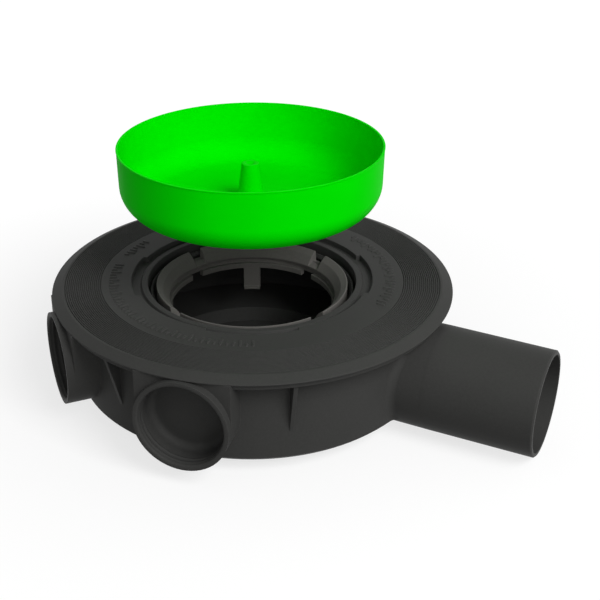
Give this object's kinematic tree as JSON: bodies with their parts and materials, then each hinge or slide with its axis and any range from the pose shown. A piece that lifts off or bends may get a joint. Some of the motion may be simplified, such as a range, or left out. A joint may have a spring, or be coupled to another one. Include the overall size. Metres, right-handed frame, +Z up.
{
  "type": "floor drain",
  "caption": "Low shower floor drain: flat drum, wide grooved flange, side outlet spigot, closed side inlets and a lifted protection cup.",
  "frame": {"origin": "on the drum's vertical axis, in the plane of the flange's top face", "axes": "+Z up out of the drain, +X along the outlet spigot, away from the drum"},
  "size_m": [0.2515, 0.204, 0.1277],
  "materials": {
    "body_plastic": "satin black, moulded",
    "ring_plastic": "satin dark grey, moulded",
    "seal_rubber": "matt",
    "cup_plastic": "smooth bright green, moulded"
  },
  "bodies": {
    "root": {"drain_drum": "body_plastic", "flange_plate": "body_plastic", "funnel_ring": "ring_plastic", "seal_ring": "seal_rubber", "protection_cup": "cup_plastic"}
  },
  "joints": []
}
